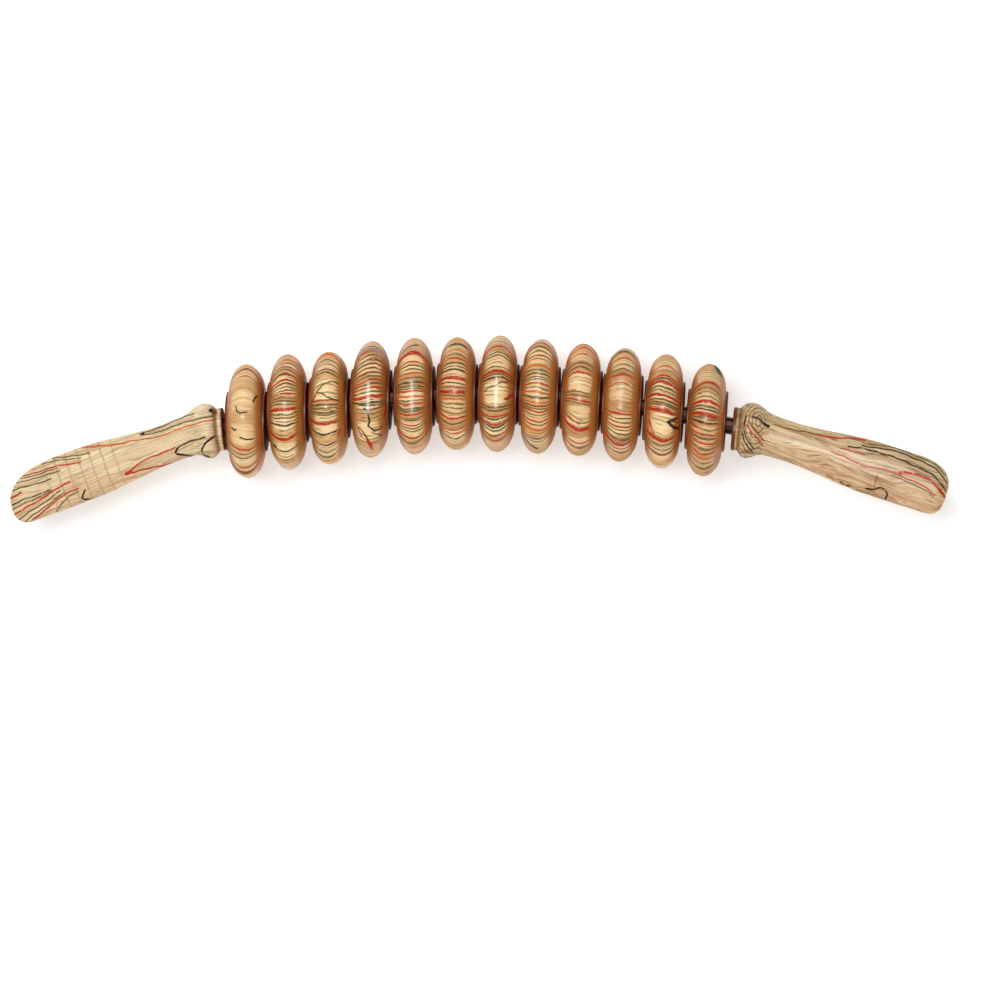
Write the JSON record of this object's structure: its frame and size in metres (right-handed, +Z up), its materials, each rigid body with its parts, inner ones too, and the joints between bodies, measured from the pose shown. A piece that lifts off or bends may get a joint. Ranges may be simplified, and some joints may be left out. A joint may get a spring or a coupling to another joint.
{
  "type": "foot massage roller",
  "caption": "Curved wooden massage roller: faceted wheels turning freely on a bent rod between two carved grips.",
  "frame": {"origin": "middle of the bounding box, on the floor that the wheels lie on", "axes": "+X along the roller from the left grip to the right grip, +Y towards the convex side of the bend, +Z up from the floor"},
  "size_m": [0.441, 0.0882, 0.0554],
  "materials": {
    "wheel_wood": "lacquered multilaminar wood",
    "handle_wood": "lacquered multilaminar wood",
    "steel": "plain drawn steel"
  },
  "bodies": {
    "frame": {"axle_rod": "steel", "left_handle": "handle_wood", "right_handle": "handle_wood", "left_rod_pin": "steel", "right_rod_pin": "steel"},
    "wheel_01": {"wheel_01": "wheel_wood"},
    "wheel_02": {"wheel_02": "wheel_wood"},
    "wheel_03": {"wheel_03": "wheel_wood"},
    "wheel_04": {"wheel_04": "wheel_wood"},
    "wheel_05": {"wheel_05": "wheel_wood"},
    "wheel_06": {"wheel_06": "wheel_wood"},
    "wheel_07": {"wheel_07": "wheel_wood"},
    "wheel_08": {"wheel_08": "wheel_wood"},
    "wheel_09": {"wheel_09": "wheel_wood"},
    "wheel_10": {"wheel_10": "wheel_wood"},
    "wheel_11": {"wheel_11": "wheel_wood"},
    "wheel_12": {"wheel_12": "wheel_wood"}
  },
  "joints": [
    {"name": "wheel_01_spin", "type": "hinge", "parent": "frame", "child": "wheel_01", "pos_m": [-0.10836, 0.0035, 0.0277], "axis": [1, -0.0017, 0], "continuous": true},
    {"name": "wheel_02_spin", "type": "hinge", "parent": "frame", "child": "wheel_02", "pos_m": [-0.08886, 0.00783, 0.0277], "axis": [1, 0.0017, 0], "continuous": true},
    {"name": "wheel_03_spin", "type": "hinge", "parent": "frame", "child": "wheel_03", "pos_m": [-0.06936, 0.0097, 0.0277], "axis": [1, -0.0017, 0], "continuous": true},
    {"name": "wheel_04_spin", "type": "hinge", "parent": "frame", "child": "wheel_04", "pos_m": [-0.04986, 0.01373, 0.0277], "axis": [0.9997, -0.0227, 0], "continuous": true},
    {"name": "wheel_05_spin", "type": "hinge", "parent": "frame", "child": "wheel_05", "pos_m": [-0.02946, 0.01528, 0.0277], "axis": [1, -0.0052, 0], "continuous": true},
    {"name": "wheel_06_spin", "type": "hinge", "parent": "frame", "child": "wheel_06", "pos_m": [-0.00946, 0.01633, 0.0277], "axis": [0.9997, -0.0244, 0], "continuous": true},
    {"name": "wheel_07_spin", "type": "hinge", "parent": "frame", "child": "wheel_07", "pos_m": [0.00994, 0.01633, 0.0277], "axis": [0.9993, -0.0366, 0], "continuous": true},
    {"name": "wheel_08_spin", "type": "hinge", "parent": "frame", "child": "wheel_08", "pos_m": [0.02924, 0.01513, 0.0277], "axis": [0.9991, -0.0419, 0], "continuous": true},
    {"name": "wheel_09_spin", "type": "hinge", "parent": "frame", "child": "wheel_09", "pos_m": [0.04874, 0.0134, 0.0277], "axis": [0.9982, -0.0593, 0], "continuous": true},
    {"name": "wheel_10_spin", "type": "hinge", "parent": "frame", "child": "wheel_10", "pos_m": [0.06794, 0.01119, 0.0277], "axis": [0.9983, -0.0576, 0], "continuous": true},
    {"name": "wheel_11_spin", "type": "hinge", "parent": "frame", "child": "wheel_11", "pos_m": [0.08744, 0.008, 0.0277], "axis": [0.9981, -0.061, 0], "continuous": true},
    {"name": "wheel_12_spin", "type": "hinge", "parent": "frame", "child": "wheel_12", "pos_m": [0.10734, 0.00386, 0.0277], "axis": [0.9972, -0.075, 0], "continuous": true}
  ]
}
